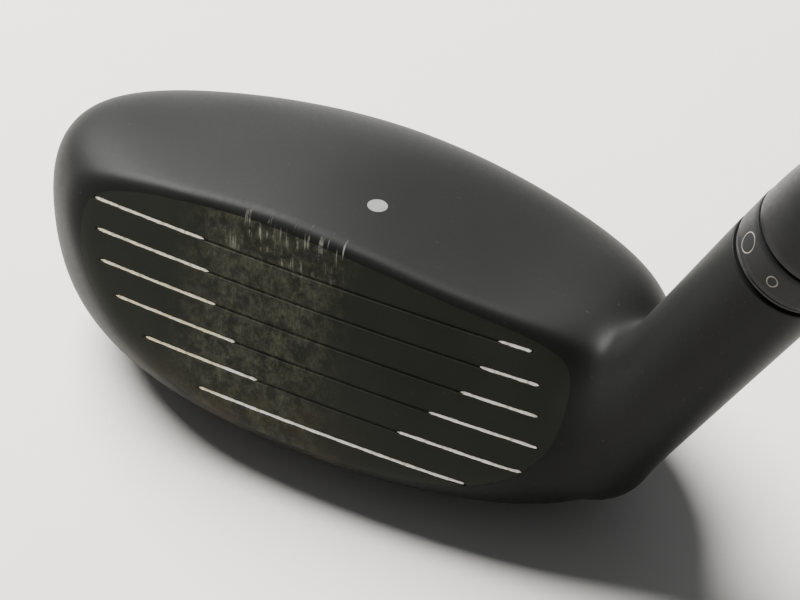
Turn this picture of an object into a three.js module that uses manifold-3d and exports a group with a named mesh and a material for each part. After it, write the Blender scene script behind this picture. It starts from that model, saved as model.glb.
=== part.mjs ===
// Hybrid golf club with an adjustable hosel, modelled as it comes apart on a bench.
// Millimetres. The sole rests on Z = 0 with the origin at the middle of its rest patch.
// +X runs from toe to heel, -Y is the way the face looks, +Z is up.
import * as THREE from 'three';
import { mergeVertices } from 'three/addons/utils/BufferGeometryUtils.js';
import Module from 'manifold-3d';

const wasm = await Module();
wasm.setup();

// ---------------------------------------------------------------- driving dimensions
const LOFT = THREE.MathUtils.degToRad(22);
const LIE = THREE.MathUtils.degToRad(60);
const CLUB_LENGTH = 1003;                      // along the shaft axis, ground to butt
const GAP = 0.3;                               // clearance between pieces that touch
const WELD = 1e-5;                             // corners closer than this are one corner
const HOSEL_FOOT = new THREE.Vector3(31.16, -8, 0);
const AXIS = new THREE.Vector3(Math.cos(LIE), 0, Math.sin(LIE));
const ACROSS_AXIS = new THREE.Vector3(-Math.sin(LIE), 0, Math.cos(LIE));

// Head outline. Distances are in the head's own frame, heights are above the ground.
const FACE = { footY: -26, bulge: 0.0024, roll: 0.0025, midHeight: 24.2, plateReach: 4.8 };
const CROWN = {
  top: 38.1, midX: -7.2, midY: -8, fall: 0.006, flare: 0.00011, run: 0.0041, tilt: -0.043, steepness: 0.93,
};
const PLAN = { x: -3.2, y: 2.2, halfLength: 49.6, halfDepth: 26.4, power: 2.085, skew: -0.209 };
const SOLE = { camberX: 0.0026, camberY: 0.0132, restDepth: 0.6, restBlend: 0.4 };
const BLEND = { topline: 2, skirt: 20.5, sole: 15.7, hosel: 6, hoselSole: 8, hoselFoot: 6 };
const WALL = { face: 2.5, crown: 1.1, skirt: 1.3, sole: 2 };
const HOSEL = { radius: 7.65, top: 66.6, footTaper: 0.0088, footLength: 14 };

// Stations along the hosel and shaft axis, measured from the ground.
const PORT = { radius: 5.2, end: 19 };
const WEB = { end: 25, hole: 2.85 };
const BORE = { radius: 6.2 };
const RETAINER = { from: 11.6, to: 12.6, inner: 3.7, outer: 4.9 };
const BOLT = { from: 12.9, headTo: 17.2, to: 42, head: 4.4, shank: 2.4, socket: 2.2, socketDepth: 3 };
const WASHER = { from: 17.5, to: 18.6, inner: 2.75, outer: 4.9 };
const SEAL = { from: 66.9, to: 67.4, inner: 6.2, outer: 7.3 };
const SLEEVE = { from: 25.6, to: 79, radius: 5.85, bore: 4.95, boreFrom: 44.4, thread: 2.75 };
const SPLINE = { teeth: 8, height: 5, width: 1.1, depth: 1.3, root: 5.2, overlap: 0.3, chamfer: 0.6 };
const COLLAR = { from: 67.7, to: 72.6, inner: 6.15, outer: 7.6 };
const FERRULE = {
  from: 72.9, to: 101, foot: 7.5, shoulder: 7.4, shoulderAt: 76.9, waist: 6.5, waistAt: 86, neck: 5.25,
  neckFrom: 79.3,
};
const GLUE_LINE = 0.25;
const SHAFT = { from: 46.5, tipEnd: 125, middle: 460, buttFrom: 800, to: 998 };
const SHAFT_RADIUS = { tip: 4.65, butt: 7.6, tipBore: 2.3, buttBore: 6.4 };
const PLUG = { from: 47, to: 56, radius: 2 };
const GRIP = {
  from: 733, to: 999.7, mouth: 9.7, butt: 13.4, lip: 15.1, lipLength: 9, lipEdge: 2.5, chamfer: 1.2,
  flare: 1.15, steps: 5,
};
const TAPE = { from: 736, to: 997, clearance: 0.15, thickness: 0.3 };
const CAP = { from: 1000, to: CLUB_LENGTH, radius: 15, stem: 6, stemFrom: 998.6 };

// Score lines: six grooves, SCORE.pitch apart down the face.
const SCORE = { top: 35.01, pitch: 4.32, width: 0.7, depth: 0.4 };
const GROOVE_ENDS = [
  [-37.1, 32.2], [-35.9, 34], [-34.7, 34.7], [-31.3, 35.5], [-25.5, 33.9], [-15.7, 26.3],
];

// Rear weight, let into the sole by its inset.
const WEIGHT = { x: -2, y: 13.5, inset: 0.9, disc: 6.9, discHeight: 6.4, stem: 2.8, stemLength: 5.5 };
const WEIGHT_BOSS = { radius: 9.2, from: 0.5, to: 15 };
const WEIGHT_SEAL = { inner: 3.3, outer: 6.3, height: 0.8 };
const WEIGHT_SOCKET = { radius: 2.3, depth: 3.2 };

const DOT = { x: 2.7, y: -0.3, radius: 1.4, thickness: 0.5, clearance: 0.15 };

// Inside the head: two ribs on the sole, a bar in the toe and a pool of glue behind the face.
const RIBS = { places: [-22, 18], width: 1.4, length: 34, height: 7, y: 2, z: 5 };
const TOE_BAR = { x: -33, y: 4, z: 12, radius: 7.5, length: 30, height: 10, reach: 40, depth: 60 };
const GLUE_POOL = { x: 2, y: -9, radius: 9, length: 12 };

// How finely the skins are drawn: rings along the head, round the heel and up the hosel.
const SKIN = { ringPoints: 40, headRings: 19, fanRings: 8, hoselRings: 2, toeRun: 9 };
const HOLLOW = { ringPoints: 24, fillPoints: 18, rings: 14, hoselGap: 0.4, hoselBlend: 4 };
const SPINE_MIDDLE = new THREE.Vector3(0, 0, 17);
const FAN_PIVOT = new THREE.Vector3(30, 0, 60);
const X_AXIS = new THREE.Vector3(1, 0, 0);
const Y_AXIS = new THREE.Vector3(0, 1, 0);
const Z_AXIS = new THREE.Vector3(0, 0, 1);

// ---------------------------------------------------------------- materials
function finish(color, roughness, metalness) {
  return new THREE.MeshStandardMaterial({ color, roughness, metalness });
}

const BLACK_PAINT = finish(0x2b2c2b, 0.5, 0.2);
const FACE_STEEL = finish(0x2e302d, 0.55, 0.5);
const TUNGSTEN = finish(0x6d6d70, 0.4, 0.9);
const STEEL = finish(0xb6b8ba, 0.3, 1);
const BLACK_ANODISED = finish(0x17181a, 0.45, 0.5);
const BLACK_PLASTIC = finish(0x111213, 0.4, 0);
const HOT_MELT = finish(0xc9b98a, 0.6, 0);
const GRAPHITE = finish(0x1b1d20, 0.25, 0.1);
const RUBBER = finish(0x1a1a1a, 0.85, 0);
const PAPER_TAPE = finish(0xd8d2c0, 0.8, 0);
const SILVER_PAINT = finish(0xb9bab4, 0.5, 0.3);
const CORK = finish(0xa9794c, 0.9, 0);

// ---------------------------------------------------------------- solids
const SIDES = { large: 32, usual: 28, small: 24, slim: 20 };

/** A closed three.js geometry as a solid that can be joined and cut. */
function solid(geometry) {
  const bare = geometry.index ? geometry.clone() : geometry;
  bare.deleteAttribute('normal');
  bare.deleteAttribute('uv');
  const merged = mergeVertices(bare, WELD);
  const vertProperties = new Float32Array(merged.attributes.position.array);
  const triVerts = new Uint32Array(merged.index.array);
  return new wasm.Manifold(new wasm.Mesh({ numProp: 3, vertProperties, triVerts }));
}

/** A solid back as a flat-shaded geometry. */
function geometryOf(body) {
  const mesh = body.getMesh();
  const geometry = new THREE.BufferGeometry();
  const points = new Float32Array((mesh.vertProperties.length / mesh.numProp) * 3);
  for (let i = 0; i < points.length / 3; i++) {
    for (let k = 0; k < 3; k++) points[3 * i + k] = mesh.vertProperties[mesh.numProp * i + k];
  }
  geometry.setAttribute('position', new THREE.BufferAttribute(points, 3));
  geometry.setIndex(new THREE.BufferAttribute(new Uint32Array(mesh.triVerts), 1));
  geometry.computeVertexNormals();
  return geometry;
}

/** A closed surface through rings of points, closed by one point at each end. */
function skinOf(start, rings, end) {
  const count = rings[0].length;
  const points = [start, ...rings.flat(), end];
  const index = [];
  const at = (ring, k) => 1 + ring * count + (k % count);
  for (let k = 0; k < count; k++) {
    index.push(0, at(0, k + 1), at(0, k));
    for (let r = 0; r + 1 < rings.length; r++) {
      index.push(at(r, k), at(r, k + 1), at(r + 1, k));
      index.push(at(r, k + 1), at(r + 1, k + 1), at(r + 1, k));
    }
    index.push(at(rings.length - 1, k), at(rings.length - 1, k + 1), points.length - 1);
  }
  const geometry = new THREE.BufferGeometry();
  const places = points.flatMap((p) => [p.x, p.y, p.z]);
  geometry.setAttribute('position', new THREE.Float32BufferAttribute(places, 3));
  geometry.setIndex(index);
  return geometry;
}

/** Places a geometry that was made along +Z so that +Z runs along the shaft axis. */
function alongShaft(geometry) {
  const turn = new THREE.Quaternion().setFromUnitVectors(Z_AXIS, AXIS);
  return geometry.applyQuaternion(turn).translate(HOSEL_FOOT.x, HOSEL_FOOT.y, HOSEL_FOOT.z);
}

/** A turned piece on +Z from [radius, height] points, which close on themselves. */
function turned(profile, segments = SIDES.usual) {
  const closed = [...profile, profile[0]].map(([r, z]) => new THREE.Vector2(r, z));
  return new THREE.LatheGeometry(closed, segments).rotateX(Math.PI / 2);
}

/** A turned piece on +Z from [radius, height] points that start and end on the axis. */
function turnedFull(profile, segments = SIDES.usual) {
  const points = profile.map(([r, z]) => new THREE.Vector2(r, z));
  return new THREE.LatheGeometry(points, segments).rotateX(Math.PI / 2);
}

/** A plain ring or disc on +Z between two heights. */
function ring(inner, outer, from, to, segments = SIDES.usual) {
  const profile = [[inner, from], [outer, from], [outer, to], [inner, to]];
  return inner > 0 ? turned(profile, segments) : turnedFull(profile, segments);
}

function shaftRing(inner, outer, from, to, segments) {
  return alongShaft(ring(inner, outer, from, to, segments));
}

// ---------------------------------------------------------------- the head as one smooth field
// Each function is negative inside the material and grows by about 1 per millimetre outwards.
const NEAR_MIDDLE = 0.01;                      // keeps the plan's outline from dividing by zero

function smoothMax(a, b, reach) {
  const h = Math.max(reach - Math.abs(a - b), 0) / reach;
  return Math.max(a, b) + (h * h * h * reach) / 6;
}

const smoothMin = (a, b, reach) => -smoothMax(-a, -b, reach);

const FACE_OUT = new THREE.Vector3(0, -Math.cos(LOFT), Math.sin(LOFT));
const FACE_UP = new THREE.Vector3(0, Math.sin(LOFT), Math.cos(LOFT));

function faceBow(x, up) {
  return 0.5 * FACE.bulge * x * x + 0.5 * FACE.roll * (up - FACE.midHeight) ** 2;
}

function faceField(p) {
  const y = p.y - FACE.footY;
  return y * FACE_OUT.y + p.z * FACE_OUT.z + faceBow(p.x, y * FACE_UP.y + p.z * FACE_UP.z);
}

function crownField(p) {
  const x = Math.abs(p.x - CROWN.midX);
  const y = p.y - CROWN.midY;
  const across = CROWN.top - CROWN.fall * x * x + CROWN.flare * x ** 3;
  const height = across + CROWN.tilt * y - CROWN.run * y * Math.abs(y);
  return (p.z - height) * CROWN.steepness;
}

function planField(p) {
  const y = p.y - PLAN.y;
  const x = p.x - PLAN.x - PLAN.skew * y;
  const sum = Math.abs(x / PLAN.halfLength) ** PLAN.power + Math.abs(y / PLAN.halfDepth) ** PLAN.power;
  const share = Math.max(sum ** (1 / PLAN.power), NEAR_MIDDLE / PLAN.halfDepth);
  return Math.max(Math.hypot(x, y), NEAR_MIDDLE) * (1 - 1 / share);
}

function soleField(p) {
  const camber = SOLE.camberX * p.x * p.x + SOLE.camberY * p.y * p.y;
  return smoothMax(0, camber - SOLE.restDepth, SOLE.restBlend) - p.z;
}

/** The head without its hosel, with each wall moved in by its own inset. */
function shellField(p, inset) {
  const skirt = smoothMax(crownField(p) + inset.crown, planField(p) + inset.skirt, BLEND.skirt);
  const body = smoothMax(skirt, soleField(p) + inset.sole, BLEND.sole);
  return smoothMax(body, faceField(p) + inset.face, BLEND.topline);
}

function axisPlace(p) {
  const dx = p.x - HOSEL_FOOT.x;
  const dy = p.y - HOSEL_FOOT.y;
  const along = dx * AXIS.x + p.z * AXIS.z;
  const radius = Math.sqrt(Math.max(dx * dx + dy * dy + p.z * p.z - along * along, 0));
  return { along, radius };
}

function outerField(p) {
  const { along, radius } = axisPlace(p);
  const wall = radius - HOSEL.radius + HOSEL.footTaper * Math.max(HOSEL.top - along, 0);
  const foot = smoothMax(wall, soleField(p), BLEND.hoselSole);
  const hosel = smoothMax(foot, HOSEL.footLength - along, BLEND.hoselFoot);
  return smoothMin(shellField(p, { face: 0, crown: 0, skirt: 0, sole: 0 }), hosel, BLEND.hosel);
}

/** The hollow inside, which stays clear of the hosel and of what is added to the walls. */
function hollowField(p, extra) {
  const inset = {};
  for (const [wall, thickness] of Object.entries(WALL)) inset[wall] = thickness + extra;
  const hosel = HOSEL.radius + HOLLOW.hoselGap + extra - axisPlace(p).radius;
  return smoothMax(shellField(p, inset), hosel, HOLLOW.hoselBlend);
}

const MARCH = { first: 0.5, step: 1.5, farthest: 120, halvings: 30 };

/** How far the surface lies from a point inside, along a unit direction. */
function reachOf(field, origin, direction) {
  const p = new THREE.Vector3();
  const value = (t) => field(p.copy(direction).multiplyScalar(t).add(origin));
  let high = MARCH.first;
  while (value(high) < 0 && high < MARCH.farthest) high += MARCH.step;
  let low = Math.max(high - MARCH.step, 0);
  for (let i = 0; i < MARCH.halvings; i++) {
    const middle = (low + high) / 2;
    if (value(middle) < 0) {
      low = middle;
    } else {
      high = middle;
    }
  }
  return (low + high) / 2;
}

/** The farthest point of the surface along +X or -X (side = 1 or -1). */
function extremeOf(field, side, heights, depths) {
  const along = new THREE.Vector3(side, 0, 0);
  let best = null;
  for (const z of heights) {
    for (const y of depths) {
      const origin = new THREE.Vector3(0, y, z);
      if (field(origin) > 0) continue;
      const point = origin.clone().addScaledVector(along, reachOf(field, origin, along));
      if (!best || side * point.x > side * best.x) best = point;
    }
  }
  return best;
}

/** One ring of surface points seen from origin, in the plane of the directions a and b. */
function sectionOf(field, origin, a, b, count) {
  const points = [];
  for (let k = 0; k < count; k++) {
    const angle = (2 * Math.PI * k) / count;
    const direction = a.clone().multiplyScalar(Math.cos(angle)).addScaledVector(b, Math.sin(angle));
    points.push(origin.clone().addScaledVector(direction, reachOf(field, origin, direction)));
  }
  return points;
}

/** Whole steps from one number to another, both included. */
function range(from, to) {
  return Array.from({ length: to - from + 1 }, (_, i) => from + i);
}

/** Flat sections along the head from the toe to the fan's pivot. */
function headRings(toe) {
  return range(1, SKIN.headRings).map((i) => {
    const t = 1 - Math.cos((Math.PI / 2) * (i / SKIN.headRings));
    const x = toe.x + (FAN_PIVOT.x - toe.x) * t;
    const near = Math.exp(-(x - toe.x) / SKIN.toeRun);
    const height = SPINE_MIDDLE.z + (toe.z - SPINE_MIDDLE.z) * near;
    const origin = new THREE.Vector3(x, toe.y * near, height);
    return sectionOf(outerField, origin, Y_AXIS, Z_AXIS, SKIN.ringPoints);
  });
}

/** Sections that turn about the pivot, from upright to square with the shaft axis. */
function fanRings() {
  const startReach = FAN_PIVOT.z - SPINE_MIDDLE.z;
  const endReach = FAN_PIVOT.clone().sub(HOSEL_FOOT).dot(ACROSS_AXIS);
  return range(1, SKIN.fanRings).map((i) => {
    const t = i / SKIN.fanRings;
    const up = new THREE.Vector3(-Math.sin(LIE * t), 0, Math.cos(LIE * t));
    const ease = t * t * (3 - 2 * t);
    const reach = THREE.MathUtils.lerp(startReach, endReach, ease);
    const origin = FAN_PIVOT.clone().addScaledVector(up, -reach);
    origin.y = HOSEL_FOOT.y * ease;
    return sectionOf(outerField, origin, Y_AXIS, up, SKIN.ringPoints);
  });
}

/** Round sections up the hosel to its mouth. */
function hoselRings() {
  const fanEnd = FAN_PIVOT.clone().sub(HOSEL_FOOT).dot(AXIS);
  return range(1, SKIN.hoselRings).map((i) => {
    const along = fanEnd + (HOSEL.top - fanEnd) * (i / SKIN.hoselRings);
    const origin = HOSEL_FOOT.clone().addScaledVector(AXIS, along);
    return sectionOf(outerField, origin, Y_AXIS, ACROSS_AXIS, SKIN.ringPoints);
  });
}

function outerSkin() {
  const toe = extremeOf(outerField, -1, range(10, 32), range(-16, 16));
  const mouth = HOSEL_FOOT.clone().addScaledVector(AXIS, HOSEL.top);
  return solid(skinOf(toe, [...headRings(toe), ...fanRings(), ...hoselRings()], mouth));
}

/** The hollow's skin: flat sections between its two ends. */
function hollowSkin(extra, ringPoints) {
  const field = (p) => hollowField(p, extra);
  const toe = extremeOf(field, -1, range(12, 30), range(-12, 14));
  const heel = extremeOf(field, 1, range(8, 30), range(-6, 20));
  const rings = range(1, HOLLOW.rings - 1).map((i) => {
    const share = (1 - Math.cos((Math.PI * i) / HOLLOW.rings)) / 2;
    const x = THREE.MathUtils.lerp(toe.x, heel.x, share);
    const near = Math.exp(-(x - toe.x) / SKIN.toeRun);
    const far = Math.exp(-(heel.x - x) / SKIN.toeRun);
    const origin = SPINE_MIDDLE.clone().lerp(toe, near).lerp(heel, far);
    origin.x = x;
    return sectionOf(field, origin, Y_AXIS, Z_AXIS, ringPoints);
  });
  return solid(skinOf(toe, rings, heel));
}

// ---------------------------------------------------------------- cutters for the head's pieces
const OUTLINE_STEPS = { face: 7, crown: 10 };
const PRISM = { faceDepth: 14, crownFrom: 19, crownHeight: 40 };

/** A point on the face: x across, up along the face from the ground line, and depth behind it. */
function facePoint(x, up, depth) {
  const off = faceBow(x, up) + depth;
  return new THREE.Vector3(x, FACE.footY, 0).addScaledVector(FACE_UP, up).addScaledVector(FACE_OUT, -off);
}

/** The face plate's outline on the face, as [x, up] points, drawn in or out by grow. */
function faceOutline(grow) {
  const outline = new THREE.Shape();
  outline.moveTo(-38 - grow, 33.5);
  outline.quadraticCurveTo(-37, 36 + grow, -32, 36.7 + grow);
  outline.quadraticCurveTo(0, 41.6 + grow, 30, 37 + grow);
  outline.quadraticCurveTo(42.5 + grow, 34 + grow, 43.5 + grow, 24);
  outline.quadraticCurveTo(43.5 + grow, 14 - grow, 30, 11.5 - grow);
  outline.quadraticCurveTo(4, 7.6 - grow, -18, 11 - grow);
  outline.quadraticCurveTo(-38 - grow, 15.5 - grow, -38 - grow, 33.5);
  return outline.getPoints(OUTLINE_STEPS.face);
}

/** A prism through the face along its normal. */
function facePrism(grow) {
  const settings = { depth: PRISM.faceDepth, bevelEnabled: false };
  const geometry = new THREE.ExtrudeGeometry(new THREE.Shape(faceOutline(grow)), settings);
  const place = new THREE.Matrix4().makeBasis(X_AXIS, FACE_UP, FACE_OUT);
  const behind = new THREE.Vector3(0, FACE.footY, 0).addScaledVector(FACE_OUT, -FACE.plateReach);
  const hosel = solid(shaftRing(0, HOSEL.radius + GAP - grow, 0, HOSEL.top));
  return solid(geometry.applyMatrix4(place.setPosition(behind))).subtract(hosel);
}

/** A prism down through the crown, inside the skirt and behind the topline. */
function crownPrism(grow) {
  const outline = new THREE.Shape();
  outline.moveTo(-40 - grow, -2);
  outline.quadraticCurveTo(-40 - grow, -6.5 - grow, -34, -6.5 - grow);
  outline.lineTo(15, -6.5 - grow);
  outline.quadraticCurveTo(27 + grow, -6.5 - grow, 27 + grow, 2);
  outline.quadraticCurveTo(28 + grow, 15 + grow, 6, 21.5 + grow);
  outline.quadraticCurveTo(-40 - grow, 22 + grow, -40 - grow, -2);
  const settings = { depth: PRISM.crownHeight, bevelEnabled: false, curveSegments: OUTLINE_STEPS.crown };
  return solid(new THREE.ExtrudeGeometry(outline, settings).translate(0, 0, PRISM.crownFrom - grow));
}

/** A bar that follows the face's bulge, between two heights and two depths behind the face. */
function faceBar(from, to, up, half, front, back, steps) {
  const rings = range(0, steps).map((i) => {
    const x = from + ((to - from) * i) / steps;
    return [[half, front], [-half, front], [-half, back], [half, back]]
      .map(([rise, depth]) => facePoint(x, up, depth).addScaledVector(FACE_UP, rise));
  });
  const middle = (front + back) / 2;
  return solid(skinOf(facePoint(from, up, middle), rings, facePoint(to, up, middle)));
}

function grooveBar(line) {
  const [from, to] = GROOVE_ENDS[line];
  return faceBar(from, to, SCORE.top - line * SCORE.pitch, SCORE.width / 2, -1, SCORE.depth, 5);
}

/** The sole's outward direction under the rear weight, pointing down and back. */
const WEIGHT_SLOPE = [2 * SOLE.camberX * WEIGHT.x, 2 * SOLE.camberY * WEIGHT.y];
const WEIGHT_OUT = new THREE.Vector3(...WEIGHT_SLOPE, -1).normalize();
const WEIGHT_FLOOR = SOLE.camberX * WEIGHT.x ** 2 + SOLE.camberY * WEIGHT.y ** 2 - SOLE.restDepth;
const WEIGHT_FACE = new THREE.Vector3(WEIGHT.x, WEIGHT.y, WEIGHT_FLOOR)
  .addScaledVector(WEIGHT_OUT, -WEIGHT.inset);

/** A ring made on +Z, stood on the weight's outer face so that +Z runs into the head. */
function intoSole(geometry) {
  const turn = new THREE.Quaternion().setFromUnitVectors(Z_AXIS, WEIGHT_OUT.clone().negate());
  return geometry.applyQuaternion(turn).translate(WEIGHT_FACE.x, WEIGHT_FACE.y, WEIGHT_FACE.z);
}

// ---------------------------------------------------------------- the head's pieces
const outer = outerSkin();
const hollow = hollowSkin(0, HOLLOW.ringPoints);
const fillable = hollowSkin(GAP, HOLLOW.fillPoints);

function weightBoss() {
  const boss = ring(0, WEIGHT_BOSS.radius, WEIGHT_BOSS.from, WEIGHT_BOSS.to);
  return solid(intoSole(boss)).intersect(outer);
}

function soleRibs() {
  const ribs = RIBS.places.map((x) => {
    const rib = new THREE.BoxGeometry(RIBS.width, RIBS.length, RIBS.height);
    return solid(rib.translate(x, RIBS.y, RIBS.z));
  });
  return ribs[0].add(ribs[1]).intersect(outer);
}

function weightPort() {
  const seat = WEIGHT.discHeight + WEIGHT_SEAL.height + 2 * GAP;
  const pocket = solid(intoSole(ring(0, WEIGHT.disc + GAP, -6, seat, SIDES.large)));
  const thread = solid(intoSole(ring(0, WEIGHT.stem + GAP, 0, seat + WEIGHT.stemLength, SIDES.small)));
  return pocket.add(thread);
}

function hoselCuts() {
  const port = solid(shaftRing(0, PORT.radius, -8, PORT.end));
  const hole = solid(shaftRing(0, WEB.hole, 0, WEB.end + 1, SIDES.small));
  const bore = solid(shaftRing(0, BORE.radius, WEB.end, HOSEL.top + 5));
  return port.add(hole).add(bore);
}

function headBody() {
  const walls = outer.subtract(hollow).add(weightBoss()).add(soleRibs());
  const cutters = [facePrism(GAP), crownPrism(GAP), weightPort(), hoselCuts()];
  return cutters.reduce((body, cutter) => body.subtract(cutter), walls);
}

function facePlate() {
  const slab = faceBar(-PLAN.halfLength, PLAN.halfLength, FACE.midHeight, 40, -4, WALL.face, 12);
  const plate = outer.intersect(facePrism(0)).intersect(slab);
  return GROOVE_ENDS.reduce((cut, _, line) => cut.subtract(grooveBar(line)), plate);
}

/** The crown's height and outward direction at a place in plan. */
function crownAt(x, y) {
  const origin = new THREE.Vector3(x, y, SPINE_MIDDLE.z);
  const z = origin.z + reachOf(outerField, origin, Z_AXIS);
  const slope = (dx, dy) => {
    const ahead = new THREE.Vector3(x + dx, y + dy, SPINE_MIDDLE.z);
    return SPINE_MIDDLE.z + reachOf(outerField, ahead, Z_AXIS) - z;
  };
  const out = new THREE.Vector3(-slope(1, 0), -slope(0, 1), 1).normalize();
  return { point: new THREE.Vector3(x, y, z), out };
}

/** The alignment dot, a disc let into the crown. */
function dotDisc(radius, depth, rise) {
  const { point, out } = crownAt(DOT.x, DOT.y);
  const turn = new THREE.Quaternion().setFromUnitVectors(Z_AXIS, out);
  return ring(0, radius, -depth, rise).applyQuaternion(turn).translate(point.x, point.y, point.z);
}

function crownShell() {
  const pocket = solid(dotDisc(DOT.radius + DOT.clearance, DOT.thickness + DOT.clearance, 1));
  return outer.subtract(hollow).intersect(crownPrism(0)).subtract(pocket);
}

function toeWeight() {
  const { x, y, z, radius, length } = TOE_BAR;
  const bar = new THREE.CylinderGeometry(radius, radius, length, SIDES.usual).rotateX(Math.PI / 2);
  const flats = new THREE.BoxGeometry(TOE_BAR.reach, TOE_BAR.depth, TOE_BAR.height);
  const round = fillable.intersect(solid(bar.translate(x, y, z)));
  return round.intersect(solid(flats.translate(x, y, z)));
}

function dampingPad() {
  const { x, y, radius, length } = GLUE_POOL;
  const pool = new THREE.CylinderGeometry(radius, radius, length, SIDES.usual).rotateX(Math.PI / 2);
  return fillable.intersect(solid(pool.translate(x, y, 0)));
}

// ---------------------------------------------------------------- hosel and adapter
/** A plain ring on the shaft axis, from its own block of dimensions. */
function spacer({ inner, outer: radius, from, to }) {
  return shaftRing(inner, radius, from, to);
}

function hexSocket(radius, from, to) {
  return ring(0, radius, from, to, 6);
}

function hoselBolt() {
  const head = solid(shaftRing(0, BOLT.head, BOLT.from, BOLT.headTo));
  const shank = solid(shaftRing(0, BOLT.shank, BOLT.headTo - 1, BOLT.to, SIDES.slim));
  const socket = solid(alongShaft(hexSocket(BOLT.socket, BOLT.from - 1, BOLT.from + BOLT.socketDepth)));
  return head.add(shank).subtract(socket);
}

function adapterSleeve() {
  const profile = [
    [SLEEVE.thread, SLEEVE.from], [SPLINE.root, SLEEVE.from], [SPLINE.root, SLEEVE.from + SPLINE.height],
    [SLEEVE.radius, SLEEVE.from + SPLINE.height + SPLINE.chamfer], [SLEEVE.radius, SLEEVE.to],
    [SLEEVE.bore, SLEEVE.to], [SLEEVE.bore, SLEEVE.boreFrom], [SLEEVE.thread, SLEEVE.boreFrom],
  ];
  let sleeve = solid(alongShaft(turned(profile)));
  for (let i = 0; i < SPLINE.teeth; i++) {
    const height = SPLINE.height + SPLINE.overlap;
    const tooth = new THREE.BoxGeometry(SPLINE.depth, SPLINE.width, height)
      .translate(SPLINE.root, 0, SLEEVE.from + height / 2)
      .rotateZ((2 * Math.PI * i) / SPLINE.teeth);
    sleeve = sleeve.add(solid(alongShaft(tooth)));
  }
  return sleeve;
}

function ferruleProfile() {
  return [
    [SLEEVE.radius + GAP, FERRULE.from], [FERRULE.foot, FERRULE.from],
    [FERRULE.shoulder, FERRULE.shoulderAt], [FERRULE.waist, FERRULE.waistAt],
    [FERRULE.neck, FERRULE.to], [SHAFT_RADIUS.tip + GLUE_LINE, FERRULE.to],
    [SHAFT_RADIUS.tip + GLUE_LINE, FERRULE.neckFrom], [SLEEVE.radius + GAP, FERRULE.neckFrom],
  ];
}

// ---------------------------------------------------------------- shaft and grip
/** The shaft's outer radius at a station along its axis. */
function shaftRadius(along) {
  const t = THREE.MathUtils.clamp((along - SHAFT.tipEnd) / (SHAFT.buttFrom - SHAFT.tipEnd), 0, 1);
  return SHAFT_RADIUS.tip + (SHAFT_RADIUS.butt - SHAFT_RADIUS.tip) * t;
}

function shaftProfile() {
  return [
    [SHAFT_RADIUS.tipBore, SHAFT.from], [SHAFT_RADIUS.tip, SHAFT.from], [SHAFT_RADIUS.tip, SHAFT.tipEnd],
    [shaftRadius(SHAFT.middle), SHAFT.middle], [SHAFT_RADIUS.butt, SHAFT.buttFrom],
    [SHAFT_RADIUS.butt, SHAFT.to], [SHAFT_RADIUS.buttBore, SHAFT.to],
    [SHAFT_RADIUS.buttBore, SHAFT.buttFrom], [SHAFT_RADIUS.tipBore, SHAFT.tipEnd],
  ];
}

/** A layer over the shaft: its outer points from outerRadii, its lining a clearance off the shaft. */
function layerProfile(inner, outerRadii, from, to) {
  const stations = range(0, 3).map((i) => from + ((to - from) * i) / 3);
  const lining = stations.map((l) => [shaftRadius(l) + inner, l]).reverse();
  return [...outerRadii(stations), ...lining];
}

function tapeProfile() {
  const top = TAPE.clearance + TAPE.thickness;
  const outside = (stations) => stations.map((l) => [shaftRadius(l) + top, l]);
  return layerProfile(TAPE.clearance, outside, TAPE.from, TAPE.to);
}

function gripProfile() {
  const clearance = 2 * TAPE.clearance + TAPE.thickness;
  const curveFrom = GRIP.from + GRIP.chamfer;
  const curve = range(0, GRIP.steps).map((i) => {
    const t = i / GRIP.steps;
    const radius = GRIP.mouth + (GRIP.butt - GRIP.mouth) * t ** GRIP.flare;
    return [radius, curveFrom + (GRIP.to - GRIP.lipLength - curveFrom) * t];
  });
  const lip = [[GRIP.lip, GRIP.to - GRIP.lipEdge], [GRIP.lip, GRIP.to]];
  const outside = [[GRIP.mouth - 1, GRIP.from], ...curve, ...lip];
  return layerProfile(clearance, () => outside, GRIP.from, GRIP.to);
}

function gripCap() {
  const profile = [
    [0, CAP.stemFrom], [CAP.stem, CAP.stemFrom], [CAP.stem, CAP.from], [CAP.radius, CAP.from],
    [CAP.radius, CAP.to - 1], [CAP.radius - 1, CAP.to], [0, CAP.to],
  ];
  return alongShaft(turnedFull(profile));
}

// ---------------------------------------------------------------- rear weight
function rearWeight() {
  const disc = solid(intoSole(ring(0, WEIGHT.disc, 0, WEIGHT.discHeight, SIDES.large)));
  const stemEnd = WEIGHT.discHeight + WEIGHT_SEAL.height + WEIGHT.stemLength;
  const stem = solid(intoSole(ring(0, WEIGHT.stem, WEIGHT.discHeight - 1, stemEnd, SIDES.small)));
  const socket = solid(intoSole(hexSocket(WEIGHT_SOCKET.radius, -1, WEIGHT_SOCKET.depth)));
  return disc.add(stem).subtract(socket);
}

function weightSeal() {
  const from = WEIGHT.discHeight + GAP;
  return intoSole(ring(WEIGHT_SEAL.inner, WEIGHT_SEAL.outer, from, from + WEIGHT_SEAL.height, SIDES.large));
}

// ---------------------------------------------------------------- assembly
const club = new THREE.Group();

function put(name, shape, material) {
  const geometry = shape.isBufferGeometry ? shape : geometryOf(shape);
  const mesh = new THREE.Mesh(geometry, material);
  mesh.name = name;
  club.add(mesh);
}

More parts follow.
